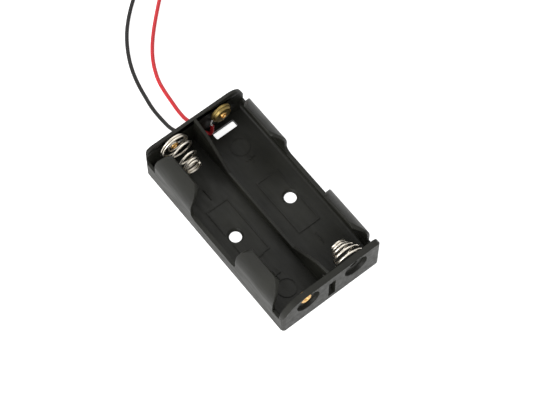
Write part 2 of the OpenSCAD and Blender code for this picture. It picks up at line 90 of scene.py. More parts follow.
class NodeTree:
    """A new material's node tree, with one call for each step that the finishes share."""

    def __init__(self, name: str) -> None:
        """Starts a material that holds one principled shader.

        Args:
            name: the material's name.
        """
        self.material = bpy.data.materials.new(name)
        self.material.use_nodes = True
        self.nodes = self.material.node_tree.nodes
        self.links = self.material.node_tree.links
        self.shader = self.nodes["Principled BSDF"]
        self.coords = self.nodes.new("ShaderNodeTexCoord").outputs["Object"]

    def join(self, source: Socket, node: bpy.types.Node, socket: str | int) -> None:
        """Links an output to a node's input, by name or number."""
        self.links.new(source, node.inputs[socket])

    def set(self, **values: object) -> None:
        """Sets sockets of the shader, where an underscore in a name stands for a space."""
        for name, value in values.items():
            self.shader.inputs[name.replace("_", " ")].default_value = value

    def noise(self, size: float, detail: float, stretch: Sequence[float] = (1, 1, 1)) -> Socket:
        """Noise in the object's own coordinates.

        Args:
            size: width of one blot, in metres.
            detail: how many finer layers are added.
            stretch: how many times longer the blots are along each axis.

        Returns:
            The noise's value, about 0.5 on average.
        """
        mapping = self.nodes.new("ShaderNodeMapping")
        mapping.inputs["Scale"].default_value = [1 / s for s in stretch]
        texture = self.nodes.new("ShaderNodeTexNoise")
        texture.inputs["Scale"].default_value = 1 / size
        texture.inputs["Detail"].default_value = detail
        self.join(self.coords, mapping, "Vector")
        self.join(mapping.outputs["Vector"], texture, "Vector")
        return texture.outputs["Fac"]

    def spread(self, value: Socket, low: float, high: float) -> Socket:
        """Stretches the middle of a noise's range to another range.

        Args:
            value: the noise.
            low: the new range's lower end.
            high: its upper end.

        Returns:
            The stretched value.
        """
        node = self.nodes.new("ShaderNodeMapRange")
        node.inputs["From Min"].default_value = NOISE_LOW
        node.inputs["From Max"].default_value = NOISE_HIGH
        node.inputs["To Min"].default_value = low
        node.inputs["To Max"].default_value = high
        self.join(value, node, "Value")
        return node.outputs["Result"]

    def blend(self, value: Socket, first: Triple, second: Triple) -> Socket:
        """Mixes two colours.

        Args:
            value: the share of the second colour, from 0 to 1.
            first: the colour at 0.
            second: the colour at 1.

        Returns:
            The mixed colour.
        """
        node = self.nodes.new("ShaderNodeMix")
        node.data_type = "RGBA"
        node.inputs[COLOUR_A].default_value = (*first, 1)
        node.inputs[COLOUR_B].default_value = (*second, 1)
        self.join(value, node, "Factor")
        return node.outputs[COLOUR_OUT]

    def relief(self, value: Socket, height: float, strength: float,
               below: Socket | None = None) -> Socket:
        """Makes a bump, on top of another if one is given.

        Args:
            value: where the surface is high and low, from 0 to 1.
            height: the bump's height, in metres.
            strength: the share of the bump that shows.
            below: the bent normal of the bump that it lies on.

        Returns:
            The bent normal.
        """
        node = self.nodes.new("ShaderNodeBump")
        node.inputs["Strength"].default_value = strength
        node.inputs["Distance"].default_value = height
        self.join(value, node, "Height")
        if below is not None:
            self.join(below, node, "Normal")
        return node.outputs["Normal"]


@dataclass(frozen=True)
class MouldedPlastic:
    """Black moulded plastic with a fine grain, a little warm, with faint rubbing along the tray."""

    deep: Triple = (0.0098, 0.0099, 0.0074)
    pale: Triple = (0.016, 0.0161, 0.012)
    gloss: float = 0.25
    smooth: float = 0.42
    rough: float = 0.58
    cloud: float = 0.006
    rubbing: float = 0.0011
    rubbing_stretch: Triple = (1, 5, 1)
    grain: float = 0.00016
    grain_height: float = 0.000006
    grain_share: float = 0.7
    flow: float = 0.0035
    flow_stretch: Triple = (1, 3, 1)
    flow_height: float = 0.00004
    flow_share: float = 0.25

    def make(self) -> bpy.types.Material:
        """Makes the plastic.

        Returns:
            The material.
        """
        tree = NodeTree("moulded_plastic")
        tree.set(Specular_IOR_Level=self.gloss)
        cloud = tree.spread(tree.noise(self.cloud, 4), 0, 1)
        tree.join(tree.blend(cloud, self.deep, self.pale), tree.shader, "Base Color")
        wear = tree.noise(self.rubbing, 4, self.rubbing_stretch)
        tree.join(tree.spread(wear, self.smooth, self.rough), tree.shader, "Roughness")
        grain = tree.relief(tree.noise(self.grain, 2), self.grain_height, self.grain_share)
        swell = tree.noise(self.flow, 2, self.flow_stretch)
        flow = tree.relief(swell, self.flow_height, self.flow_share, grain)
        tree.join(flow, tree.shader, "Normal")
        return tree.material


@dataclass(frozen=True)
class SheetMetal:
    """Bare or plated metal with faint tarnish and fine drawing marks.

    Blot is the width of a patch of tarnish. The changes of gloss and the marks are finer than it by their own
    numbers.
    """

    name: str
    bright: Triple
    dull: Triple
    smooth: float
    rough: float
    blot: float = 0.0009
    marks: float = 0.5
    marks_height: float = 0.000004
    marks_stretch: Triple = (1, 1, 4)
    gloss_finer: float = 2
    marks_finer: float = 8

    def make(self) -> bpy.types.Material:
        """Makes the metal.

        Returns:
            The material.
        """
        tree = NodeTree(self.name)
        tree.set(Metallic=1.0)
        tarnish = tree.spread(tree.noise(self.blot, 5), 0, 1)
        tree.join(tree.blend(tarnish, self.bright, self.dull), tree.shader, "Base Color")
        sheen = tree.noise(self.blot / self.gloss_finer, 4)
        tree.join(tree.spread(sheen, self.smooth, self.rough), tree.shader, "Roughness")
        lines = tree.noise(self.blot / self.marks_finer, 2, self.marks_stretch)
        tree.join(tree.relief(lines, self.marks_height, self.marks), tree.shader, "Normal")
        return tree.material


@dataclass(frozen=True)
class Insulation:
    """Smooth extruded insulation with faint waves along it."""

    name: str
    colour: Triple
    shade: Triple
    gloss: float = 0.4
    cloud: float = 0.004
    smooth: float = 0.3
    rough: float = 0.42
    sheen: float = 0.0008
    wave: float = 0.0006
    wave_height: float = 0.000012
    wave_share: float = 0.5

    def make(self) -> bpy.types.Material:
        """Makes the insulation.

        Returns:
            The material.
        """
        tree = NodeTree(self.name)
        tree.set(Specular_IOR_Level=self.gloss)
        cloud = tree.spread(tree.noise(self.cloud, 3), 0, 1)
        tree.join(tree.blend(cloud, self.colour, self.shade), tree.shader, "Base Color")
        sheen = tree.noise(self.sheen, 3)
        tree.join(tree.spread(sheen, self.smooth, self.rough), tree.shader, "Roughness")
        waves = tree.noise(self.wave, 3)
        tree.join(tree.relief(waves, self.wave_height, self.wave_share), tree.shader, "Normal")
        return tree.material


class Finish(Enum):
    """The finishes of the holder's pieces, each with the record's slot that it belongs to."""

    PLASTIC = ("tray_plastic", MouldedPlastic())
    # The contact's brass colours are painted dark, well below the eyelets' brass. This is painted shade
    # standing for the dark tray that the contact faces and mirrors. Only its blots of tarnish are the metal's
    # own.
    SHADE_DARKENED_BRASS = ("contact_brass", SheetMetal(
        "contact_brass", (0.36, 0.265, 0.095), (0.2, 0.145, 0.05), smooth=0.42, rough=0.6))
    EYELET = ("eyelet_brass", SheetMetal(
        "eyelet_brass", (0.84, 0.54, 0.21), (0.58, 0.34, 0.11), smooth=0.24, rough=0.4, blot=0.0005))
    NICKEL = ("spring_wire", SheetMetal(
        "spring_wire", (0.8, 0.75, 0.66), (0.7, 0.65, 0.56), smooth=0.27, rough=0.34, blot=0.0015,
        marks=0.02))
    RED = ("red_insulation", Insulation("red_insulation", (0.78, 0.035, 0.045), (0.66, 0.02, 0.03)))
    BLACK = ("black_insulation", Insulation(
        "black_insulation", (0.012, 0.011, 0.01), (0.007, 0.007, 0.006), gloss=0.3))
    TINNED = ("tinned_copper", SheetMetal(
        "tinned_copper", (0.78, 0.77, 0.75), (0.6, 0.58, 0.55), smooth=0.2, rough=0.4, blot=0.0004))

    @property
    def slot(self) -> str:
        """The record's material slot."""
        return self.value[0]

    @property
    def material(self) -> bpy.types.Material:
        """The material, made at its first use.

        Returns:
            The material.
        """
        found = bpy.data.materials.get(self.slot + "_finish")
        if found is None:
            found = self.value[1].make()
            found.name = self.slot + "_finish"
        return found


# --- shared making -------------------------------------------------------------


def add_piece(name: str, mesh: bpy.types.Mesh, finish: Finish, *replaced: str) -> bpy.types.Object:
    """Puts a finished mesh in the scene as a piece of the object.

    Args:
        name: the piece's name.
        mesh: its mesh, in the frame's coordinates.
        finish: what it is made of.
        replaced: the CAD nodes that it stands for.

    Returns:
        The new object, riding on the body.
    """
    piece = bpy.data.objects.new(name, mesh)
    bpy.context.scene.collection.objects.link(piece)
    mesh.materials.clear()
    mesh.materials.append(finish.material)
    mesh.shade_smooth()
    mesh.set_sharp_from_angle(angle=CORNER)
    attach(piece, BODY)
    if replaced:
        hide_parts(*replaced)
    LOG.info("%s: %d faces", name, len(mesh.polygons))
    return piece


def round_wire(points: Sequence[Vector], diameter: float, roundness: int) -> bpy.types.Mesh:
    """Makes a round wire along a line of points, with flat ends.

    Args:
        points: the wire's middle line.
        diameter: the wire's diameter.
        roundness: the section has twice as many sides as this, and four more.

    Returns:
        The wire's mesh.
    """
    line = bpy.data.curves.new("wire", "CURVE")
    line.dimensions = "3D"
    line.bevel_depth = diameter / 2
    line.bevel_resolution = roundness
    line.use_fill_caps = True
    spline = line.splines.new("POLY")
    spline.points.add(len(points) - 1)
    for target, point in zip(spline.points, points):
        target.co = (*point, 1)
    carrier = bpy.data.objects.new("wire", line)
    bpy.context.scene.collection.objects.link(carrier)
    mesh = bpy.data.meshes.new_from_object(carrier.evaluated_get(bpy.context.evaluated_depsgraph_get()))
    bpy.data.objects.remove(carrier)
    bpy.data.curves.remove(line)
    shape = bmesh.new()
    shape.from_mesh(mesh)
    bmesh.ops.remove_doubles(shape, verts=shape.verts, dist=WELD)
    shape.to_mesh(mesh)
    shape.free()
    return mesh


def look_up(value: float, table: Sequence[tuple[float, float]]) -> float:
    """The value of a table at a place between two of its rows.

    Args:
        value: where to read the table.
        table: rows of place and value, in rising order.

    Returns:
        The value between the two nearest rows, or that of the first or last row outside them.
    """
    if value <= table[0][0]:
        return table[0][1]
    for (low, first), (high, second) in zip(table, table[1:]):
        if value <= high:
            return first + (second - first) * (value - low) / (high - low)
    return table[-1][1]


def between(first: Vector, second: Vector, start: float, end: float, at: float) -> Vector:
    """The point at a place on the straight line that passes two points at their own places."""
    return first.lerp(second, (at - start) / (end - start))


def smoothed(points: Sequence[Vector], steps: int) -> list[Vector]:
    """A smooth line through points that may lie unevenly.

    Args:
        points: the points that the line goes through.
        steps: how many steps the line takes from each to the next.

    Returns:
        The line's points.
    """
    guides = [2 * points[0] - points[1], *points, 2 * points[-1] - points[-2]]
    line = []
    for a, b, c, d in zip(guides, guides[1:], guides[2:], guides[3:]):
        ta, tb = 0.0, (b - a).length ** 0.5
        tc = tb + (c - b).length ** 0.5
        td = tc + (d - c).length ** 0.5
        for k in range(steps):
            t = tb + (tc - tb) * k / steps
            ab = between(a, b, ta, tb, t)
            bc = between(b, c, tb, tc, t)
            cd = between(c, d, tc, td, t)
            abc = between(ab, bc, ta, tc, t)
            bcd = between(bc, cd, tb, td, t)
            line.append(between(abc, bcd, tb, tc, t))
    line.append(points[-1].copy())
    return line


def twisted(line: Sequence[Vector], across: float, lay: float = 6.0) -> bpy.types.Mesh:
    """Makes strands along a line, all but one of them twisted round the one in the middle.

    Args:
        line: the bundle's middle line.
        across: the diameter of the bundle.
        lay: the length of one twist, in diameters of the bundle.

    Returns:
        The mesh of all the strands.
    """
    # Three strands lie side by side across the bundle.
    strand = across / 3
    side = (line[1] - line[0]).orthogonal().normalized()
    frames, run = [], 0.0
    for k, point in enumerate(line):
        heading = (line[min(k + 1, len(line) - 1)] - line[max(k - 1, 0)]).normalized()
        side = (side - heading * side.dot(heading)).normalized()
        run += (point - line[max(k - 1, 0)]).length
        frames.append((point, side.copy(), heading.cross(side), run))
    shape = bmesh.new()
    for k in range(OUTER_STRANDS + 1):
        off = strand if k < OUTER_STRANDS else 0.0
        path = []
        for point, one, other, run in frames:
            angle = math.tau * (k / OUTER_STRANDS + run / (across * lay))
            path.append(point + off * (one * math.cos(angle) + other * math.sin(angle)))
        part = round_wire(path, strand, 2)
        shape.from_mesh(part)
        bpy.data.meshes.remove(part)
    mesh = bpy.data.meshes.new("strands")
    shape.to_mesh(mesh)
    shape.free()
    return mesh


def turned(profile: Sequence[tuple[float, float]], to_place: Matrix, edge: float) -> bpy.types.Mesh:
    """Turns a closed outline round the Z axis and rounds its edges.

    Args:
        profile: radius and height of the outline's corners.
        to_place: moves the piece from the origin to its place.
        edge: width of the bevel on its edges, or 0 for none.

    Returns:
        The turned mesh.
    """
    shape = bmesh.new()
    corners = [shape.verts.new((r, 0, h)) for r, h in profile]
    edges = [shape.edges.new((a, b)) for a, b in zip(corners, corners[1:] + corners[:1])]
    bmesh.ops.spin(shape, geom=corners + edges, cent=(0, 0, 0), axis=(0, 0, 1), angle=math.tau,
                   steps=TURN_STEPS, use_merge=True)
    bmesh.ops.remove_doubles(shape, verts=shape.verts, dist=WELD)
    if edge:
        sharp = [e for e in shape.edges if e.is_manifold and e.calc_face_angle(0) > TURNED_EDGE]
        bmesh.ops.bevel(shape, geom=sharp, offset=edge, offset_type="OFFSET", affect="EDGES",
                        segments=TURNED_EDGE_STEPS, profile=0.5, material=-1, clamp_overlap=True)
    bmesh.ops.recalc_face_normals(shape, faces=shape.faces)
    bmesh.ops.transform(shape, matrix=to_place, verts=shape.verts)
    mesh = bpy.data.meshes.new("turned")
    shape.to_mesh(mesh)
    shape.free()
    return mesh


class Wall(Enum):
    """The two end walls, with the way that points into the tray."""

    NEAR = 1
    FAR = -1

    def place(self, x: float, y: float, z: float) -> Matrix:
        """Moves what is made upwards from the origin onto the wall at a point, pointing into the tray."""
        return Matrix.Translation((x, y, z)) @ Matrix.Rotation(-self.value * math.pi / 2, 4, "X")


@dataclass
class Layout:
    """Places that the pieces share, read from the frame's boxes."""

    bay_x: float
    axis_z: float
    near_seat: float
    far_seat: float
    far_outside: float
    base: float

    @classmethod
    def read(cls) -> "Layout":
        """Reads the boxes of the contact's eyelet, the springs and the tray.

        Returns:
            The places.
        """
        low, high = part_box("positive_eyelet")
        return cls(
            bay_x=(low.x + high.x) / 2,
            axis_z=(low.z + high.z) / 2,
            near_seat=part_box("linked_spring")[0].y,
            far_seat=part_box("wired_spring")[1].y,
            far_outside=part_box("tray")[1].y,
            base=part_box("tray")[0].z,
        )


# --- camera and light ------------------------------------------------------------


@dataclass
class ViewCamera:
    """The camera, aimed by the turn and rise of its line of sight and its distance from the origin."""

    azimuth: float = -38.303
    elevation: float = 64.996
    roll: float = 0.008
    distance: float = 505.3 * MM
    right: float = 1.339 * MM
    up: float = 4.14 * MM
    lens: float = 130.53
    sensor: float = 36.0
    nearest: float = 0.01
    furthest: float = 10

    def build(self) -> bpy.types.Object:
        """Makes the camera and sets it as the scene's.

        Returns:
            The camera's object.
        """
        a = math.radians(self.azimuth)
        e = math.radians(self.elevation)
        back = Vector((math.sin(a) * math.cos(e), -math.cos(a) * math.cos(e), math.sin(e)))
        right = Vector((math.cos(a), math.sin(a), 0))
        turn = Matrix((right, back.cross(right), back)).transposed() @ Matrix.Rotation(
            math.radians(self.roll), 3, "Z")
        data = bpy.data.cameras.new("view")
        data.lens = self.lens
        data.sensor_width = self.sensor
        data.clip_start = self.nearest
        data.clip_end = self.furthest
        camera = bpy.data.objects.new("view", data)
        bpy.context.scene.collection.objects.link(camera)
        place = turn @ Vector((self.right, self.up, self.distance))
        camera.matrix_world = Matrix.Translation(place) @ turn.to_4x4()
        bpy.context.scene.camera = camera
        return camera


def seen_directly(tree: bpy.types.NodeTree) -> Socket:
    """A value of 1 for what the camera, a gloss or clear glass sees, and 0 for what only gives light.

    Args:
        tree: the node tree of a material or a world.

    Returns:
        The value's socket.
    """
    path = tree.nodes.new("ShaderNodeLightPath")
    value = path.outputs["Is Camera Ray"]
    for kind in ("Is Glossy Ray", "Is Transmission Ray"):
        either = tree.nodes.new("ShaderNodeMath")
        either.operation = "MAXIMUM"
        tree.links.new(value, either.inputs[0])
        tree.links.new(path.outputs[kind], either.inputs[1])
        value = either.outputs[0]
    return value


@dataclass(frozen=True)
class Lamp:
    """A square lamp that points at the origin."""

    name: str
    place: Triple
    across: float
    power: float

    def build(self) -> bpy.types.Object:
        """Makes the lamp.

        Returns:
            The lamp's object.
        """
        data = bpy.data.lights.new(self.name, "AREA")
        data.shape = "SQUARE"
        data.size = self.across
        data.energy = self.power
        lamp = bpy.data.objects.new(self.name, data)
        bpy.context.scene.collection.objects.link(lamp)
        lamp.location = self.place
        lamp.rotation_euler = (-Vector(self.place)).to_track_quat("-Z", "Y").to_euler()
        return lamp


@dataclass
class Studio:
    """A pale floor, a soft world and two large lamps."""

    floor_across: float = 3.0
    floor_parts: int = 8
    floor_colour: Triple = (0.86, 0.86, 0.86)
    floor_roughness: float = 0.9
    floor_gloss: float = 0.1
    lift: float = 0.86
    world_strength: float = 0.4
    lamps: tuple[Lamp, ...] = (
        Lamp("left_lamp", (-0.9, -0.25, 0.55), 0.7, 9.0),
        Lamp("back_lamp", (0.35, 0.7, 0.8), 0.8, 3.0),
    )

    def floor(self, level: float) -> bpy.types.Object:
        """Makes the floor at a level: white, with the object's shadow kept.

        Args:
            level: the height of the floor.

        Returns:
            The floor's object.
        """
        shape = bmesh.new()
        bmesh.ops.create_grid(shape, x_segments=self.floor_parts, y_segments=self.floor_parts,
                              size=self.floor_across / 2)
        bmesh.ops.translate(shape, verts=shape.verts, vec=(0, 0, level))
        mesh = bpy.data.meshes.new("studio_floor")
        shape.to_mesh(mesh)
        shape.free()
        floor = bpy.data.objects.new("studio_floor", mesh)
        bpy.context.scene.collection.objects.link(floor)
        mesh.materials.append(self.floor_material())
        return floor

    def floor_material(self) -> bpy.types.Material:
        """Makes matt white, lifted a little for the camera and for reflections.

        Returns:
            The material.
        """
        tree = NodeTree("studio_floor")
        tree.set(Base_Color=(*self.floor_colour, 1), Roughness=self.floor_roughness,
                 Specular_IOR_Level=self.floor_gloss)
        strength = tree.nodes.new("ShaderNodeMath")
        strength.operation = "MULTIPLY"
        strength.inputs[1].default_value = self.lift
        tree.join(seen_directly(tree.material.node_tree), strength, 0)
        glow = tree.nodes.new("ShaderNodeEmission")
        tree.join(strength.outputs[0], glow, "Strength")
        both = tree.nodes.new("ShaderNodeAddShader")
        tree.join(tree.shader.outputs["BSDF"], both, 0)
        tree.join(glow.outputs["Emission"], both, 1)
        tree.join(both.outputs[0], tree.nodes["Material Output"], "Surface")
        return tree.material

    def light_world(self) -> None:
        """Makes the world's light: weak on the object, and white where it is seen directly."""
        world = bpy.data.worlds.new("studio")
        bpy.context.scene.world = world
        world.use_nodes = True
        ground = world.node_tree.nodes["Background"]
        ground.inputs["Color"].default_value = (1, 1, 1, 1)
        strength = world.node_tree.nodes.new("ShaderNodeMath")
        strength.operation = "MULTIPLY_ADD"
        strength.inputs[1].default_value = 1 - self.world_strength
        strength.inputs[2].default_value = self.world_strength
        world.node_tree.links.new(seen_directly(world.node_tree), strength.inputs[0])
        world.node_tree.links.new(strength.outputs[0], ground.inputs["Strength"])

    def build(self, level: float) -> None:
        """Sets the view transform and makes the world's light, the floor and the lamps.

        Args:
            level: the height of the floor.
        """
        bpy.context.scene.view_settings.view_transform = "Standard"
        self.light_world()
        self.floor(level)
        for lamp in self.lamps:
            lamp.build()


# --- leads -------------------------------------------------------------------------


@dataclass
class StoredCoil:
    """The flat coil that a lead's unseen length is wound into, with its tie.

    Angles are in degrees: run_out is the last part of the turns, which the lead leaves for its tip, and
    tip_turn is the tip's own from the coil's radius. The tie's place is in turns from the outermost.
    """

    outer_r: float = 7.4 * MM
    turns: float = 2.35
    pitch: float = 1.15 * MM
    points_per_turn: int = 24
    run_out: float = 45.0
    tip_gap: float = 0.1 * MM
    tip_turn: float = 130.0
    clearance: float = 0.05 * MM
    arc_steps: int = 4
    arc_reach: float = 0.38
    tie_width: float = 1.4 * MM
    tie_thickness: float = 0.1 * MM
    tie_slack: float = 0.02 * MM
    tie_edge: float = 0.03 * MM
    tie_turn: float = 1.5


@dataclass
class Lead:
    """A free lead: its route along the floor, its coil and its tinned tip."""

    name: str
    finish: Finish
    side: int
    route: Sequence[Triple]
    diameter: float = 1.1 * MM
    conductor: float = 0.6 * MM
    tip_length: float = 4.5 * MM
    tip_hidden: float = 0.3 * MM
    tip_steps: int = 24
    roundness: int = 5
    curve_steps: int = 6
    coil: StoredCoil = field(default_factory=StoredCoil)

    def __post_init__(self) -> None:
        """Works out the coil's middle and the angles at which it starts and ends."""
        self.points = [Vector(p) * MM for p in self.route]
        last = self.points[-1]
        heading = (last - self.points[-2]).normalized()
        self.centre = last + self.side * self.coil.outer_r * Vector((-heading.y, heading.x, 0)).normalized()
        self.centre.z = last.z
        self.first_angle = math.atan2(last.y - self.centre.y, last.x - self.centre.x)
        self.last_angle = self.first_angle + self.side * math.tau * self.coil.turns

    def around(self, radius: float, angle: float) -> Vector:
        """The point at a radius and an angle from the coil's middle."""
        return self.centre + radius * Vector((math.cos(angle), math.sin(angle), 0))

    def coil_points(self) -> list[Vector]:
        """Works out the turns, from just after the route to where the lead leaves them.

        Returns:
            The points of their middle line.
        """
        coil = self.coil
        run_out = math.radians(coil.run_out)
        total = math.tau * coil.turns - run_out
        count = round(coil.points_per_turn * total / math.tau)
        return [
            self.around(coil.outer_r - coil.pitch * total * k / count / math.tau,
                        self.first_angle + self.side * total * k / count)
            for k in range(1, count + 1)
        ]

    def tip_start(self) -> Vector:
        """Works out where the insulation ends and the bare tip begins, inside the coil.

        Returns:
            The point.
        """
        coil = self.coil
        inner = coil.outer_r - coil.turns * coil.pitch - self.diameter / 2 - coil.clearance
        return self.around(inner - coil.tip_gap - self.conductor / 2, self.last_angle)

    def tip_heading(self) -> Vector:
        """The way in which the bare tip points."""
        angle = self.last_angle + self.side * math.radians(self.coil.tip_turn)
        return Vector((math.cos(angle), math.sin(angle), 0))

    def inward_arc(self, start: Vector, heading: Vector) -> list[Vector]:
        """An arc from the last turn to the tip, in a few points.

        Args:
            start: where the lead leaves its turns.
            heading: the way it points there.

        Returns:
            The arc's points after its start.
        """
        end = self.tip_start()
        end_heading = self.tip_heading()
        reach = (end - start).length * self.coil.arc_reach
        leaving, arriving = start + reach * heading, end - reach * end_heading
        arc = []
        for k in range(1, self.coil.arc_steps + 1):
            t = k / self.coil.arc_steps
            a, b, c, d = (1 - t) ** 3, 3 * t * (1 - t) ** 2, 3 * t * t * (1 - t), t ** 3
            arc.append(a * start + b * leaving + c * arriving + d * end)
        return arc

    def line(self) -> list[Vector]:
        """Works out the middle line of the insulated lead.

        Returns:
            Its points, from the wall to the tip.
        """
        turns = self.coil_points()
        heading = (turns[-1] - turns[-2]).normalized()
        return self.points + turns + self.inward_arc(turns[-1], heading)

    def build_lead(self) -> bpy.types.Object:
        """Makes the insulated lead as a curve.

        Returns:
            The lead's object.
        """
        data = bpy.data.curves.new(self.name + "_flex", "CURVE")
        data.dimensions = "3D"
        data.bevel_depth = self.diameter / 2
        data.bevel_resolution = self.roundness
        data.resolution_u = self.curve_steps
        data.use_fill_caps = True
        points = self.line()
        spline = data.splines.new("BEZIER")
        spline.bezier_points.add(len(points) - 1)
        for target, point in zip(spline.bezier_points, points):
            target.co = point
            target.handle_left_type = "AUTO"
            target.handle_right_type = "AUTO"
        data.materials.append(self.finish.material)
        piece = bpy.data.objects.new(self.name + "_flex", data)
        bpy.context.scene.collection.objects.link(piece)
        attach(piece, BODY)
        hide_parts(self.name + "_lead", self.name + "_coil")
        LOG.info("%s lead: %d points", self.name, len(points))
        return piece

    def build_tip(self) -> bpy.types.Object:
        """Makes the bare tip, with its strands twisted together.

        Returns:
            The tip's object.
        """
        heading = self.tip_heading()
        first = self.tip_start() - heading * self.tip_hidden
        whole = self.tip_length + self.tip_hidden
        line = [first + heading * whole * k / self.tip_steps for k in range(self.tip_steps + 1)]
        return add_piece(self.name + "_tip_strands", twisted(line, self.conductor), Finish.TINNED,
                         self.name + "_tip")

    def build_tie(self) -> bpy.types.Object:
        """Makes the band that holds the turns together, across from where the lead comes in.

        Returns:
            The band's object.
        """
        coil = self.coil
        inner = self.diameter / 2 + coil.tie_slack
        outer = inner + coil.tie_thickness
        band = turned([(inner, 0), (outer, 0), (outer, coil.tie_width), (inner, coil.tie_width)],
                      Matrix.Translation((0, 0, -coil.tie_width / 2)), coil.tie_edge)
        shape = bmesh.new()
        shape.from_mesh(band)
        over = [v for v in shape.verts if v.co.x > ON_LINE]
        bmesh.ops.translate(shape, verts=over, vec=(coil.pitch, 0, 0))
        angle = self.first_angle + math.pi
        outwards = Vector((math.cos(angle), math.sin(angle), 0))
        up = Vector((0, 0, 1))
        turn = Matrix((outwards, up, outwards.cross(up))).transposed().to_4x4()
        place = self.around(coil.outer_r - coil.tie_turn * coil.pitch, angle)
        bmesh.ops.transform(shape, matrix=Matrix.Translation(place) @ turn, verts=shape.verts)
        shape.to_mesh(band)
        shape.free()
        return add_piece(self.name + "_coil_tie", band, Finish.BLACK)

    def build(self) -> None:
        lead = self.build_lead()
        tip = self.build_tip()
        tie = self.build_tie()


# The leads' middle lines from the far wall to their coils, in millimetres.
RED_ROUTE = [
    (2.3, 29, 2.6), (2.3, 30.2, 2.6), (1.9, 31.6, 2.3), (1.5, 33, 1.9), (1.3, 34.6, 1.4), (1.35, 36.4, 0.95),
    (1.5, 38.4, 0.65), (1.8, 41.4, 0.6), (2.2, 45, 0.6), (2.8, 48.2, 0.6), (3.9, 51.3, 0.6), (5.5, 54.5, 0.6),
    (7.6, 57.6, 0.6), (10.2, 60.7, 0.6), (13.1, 63.7, 0.6), (15.8, 66.3, 0.6), (18.4, 68.7, 0.6),
    (21.2, 71.2, 0.6), (24, 73.8, 0.65), (27, 76.5, 0.7),
]
BLACK_ROUTE = [
    (-2.3, 29, 2.6), (-2.3, 30.2, 2.6), (-2.7, 31.6, 2.3), (-3.2, 33.2, 1.9), (-3.55, 35, 1.4),
    (-3.6, 37, 0.95), (-3.6, 39.4, 0.65), (-3.5, 42.8, 0.6), (-3, 46.2, 0.6), (-2.4, 49.6, 0.6),
    (-1.6, 52.9, 0.6), (-0.5, 56.2, 0.6), (0.9, 59.3, 0.6), (2.6, 62.3, 0.6), (4.6, 65.2, 0.6),
    (7, 68, 0.6), (9.8, 70.7, 0.6), (12.8, 73.2, 0.6), (16.1, 75.9, 0.65), (19.5, 78.7, 0.7),
]


# --- wires inside the tray ---------------------------------------------------------


@dataclass
class InnerWire:
    """The end of a lead inside the tray: its insulation, then bare strands round an eyelet's barrel.

    The two routes run from the hole in the far wall, in millimetres: across, away from the wall, and up.
    The stub, also in millimetres, is how far the strands run straight out of the insulation. The eye's angles
    are in degrees.
    """

    name: str
    finish: Finish
    side: int
    covered: Sequence[Triple]
    bare: Sequence[Triple]
    hole_x: float = 2.3
    hole_z: float = 2.6
    diameter: float = 1.1 * MM
    conductor: float = 0.6 * MM
    eye_r: float = 1.1 * MM
    eye_start: int = -80
    eye_end: int = 160
    eye_step: int = 20
    stub: float = 0.2
    roundness: int = 6
    covered_steps: int = 8
    bare_steps: int = 10

    def along(self, route: Sequence[Triple], face: float) -> list[Vector]:
        """The places of a route's points, measured from a face of the far wall."""
        return [Vector((self.side * (self.hole_x + x) * MM, face - y * MM, (self.hole_z + z) * MM))
                for x, y, z in route]

    def covered_line(self, layout: Layout) -> list[Vector]:
        """The middle line of the insulation, from the wall's outer face."""
        outside = Vector((self.side * self.hole_x * MM, layout.far_outside, self.hole_z * MM))
        return [outside] + self.along(self.covered, layout.far_seat + self.conductor)

    def bare_line(self, layout: Layout) -> list[Vector]:
        """Works out the bare strands' way, from the end of the insulation and round the barrel.

        Args:
            layout: the places that the pieces share.

        Returns:
            The points of their middle line.
        """
        before, last = self.covered_line(layout)[-2:]
        flat = layout.far_seat + self.conductor / 2
        eye = []
        for degrees in range(self.eye_start, self.eye_end + 1, self.eye_step):
            angle = math.radians(degrees)
            eye.append(Vector((self.side * (layout.bay_x + self.eye_r * math.cos(angle)), flat,
                               layout.axis_z + self.eye_r * math.sin(angle))))
        start = last + (last - before).normalized() * self.stub * MM
        return [last, start] + self.along(self.bare, flat) + eye

    def build(self, layout: Layout) -> None:
        """Makes the insulated end and the bare strands.

        Args:
            layout: the places that the pieces share.
        """
        covered = smoothed(self.covered_line(layout), self.covered_steps)
        sleeve = round_wire(covered, self.diameter, self.roundness)
        add_piece(self.name + "_wire_end_sleeve", sleeve, self.finish, self.name + "_wire_end")
        strands = twisted(smoothed(self.bare_line(layout), self.bare_steps), self.conductor)
        add_piece(self.name + "_conductor_strands", strands, Finish.TINNED, self.name + "_conductor")


# The wires inside the tray, from their holes to the barrels.
RED_COVERED = [
    (0, 0, 0), (0.15, 0.4, -0.05), (0.5, 0.9, -0.15), (1, 1.4, -0.2), (1.4, 1.65, 0), (1.7, 1.7, 0.5),
    (1.9, 1.55, 1.2), (2.1, 1.35, 1.9), (2.2, 1.2, 2.5),
]
RED_BARE = [(2.25, 0.45, 2.8), (2.5, 0.1, 3.15), (3, 0, 3.6)]
BLACK_COVERED = [(0, 0, 0), (0, 0.4, 0.05), (0.1, 0.75, 0.35), (0.35, 0.95, 0.9), (0.6, 1, 1.5), (0.8, 1, 2)]
BLACK_BARE = [(0.95, 0.5, 2.5), (1.3, 0.1, 3), (1.9, 0, 3.5)]


# --- springs and contacts ------------------------------------------------------------


@dataclass(frozen=True)
class Winding:
    """A spring's shape: rows of turn, radius and level in millimetres, with its hand and its first angle."""

    rows: tuple[Triple, ...]
    hand: int
    start: float


# Turn, radius and level of the two springs. The far one starts with the eye round its eyelet.
FAR_ROWS = (
    (-1.2, 1.1, 0.3), (-0.7, 1.1, 0.3), (0, 4.0, 0.3), (0.55, 4.0, 0.3), (0.95, 4.0, 0.96), (1.45, 4.0, 0.99),
    (2.2, 3.753, 3.627), (3.2, 2.898, 6.231), (4.2, 2.252, 7.71), (5.2, 2.1, 8.37), (6, 2.1, 9.0),
)
NEAR_ROWS = (
    (0, 4.0, 0.3), (0.25, 4.0, 0.3), (1, 4.0, 1.475), (2, 3.392, 3.009), (3, 2.499, 4.366), (3.7, 2.1, 4.94),
    (4.7, 2.1, 5.6),
)


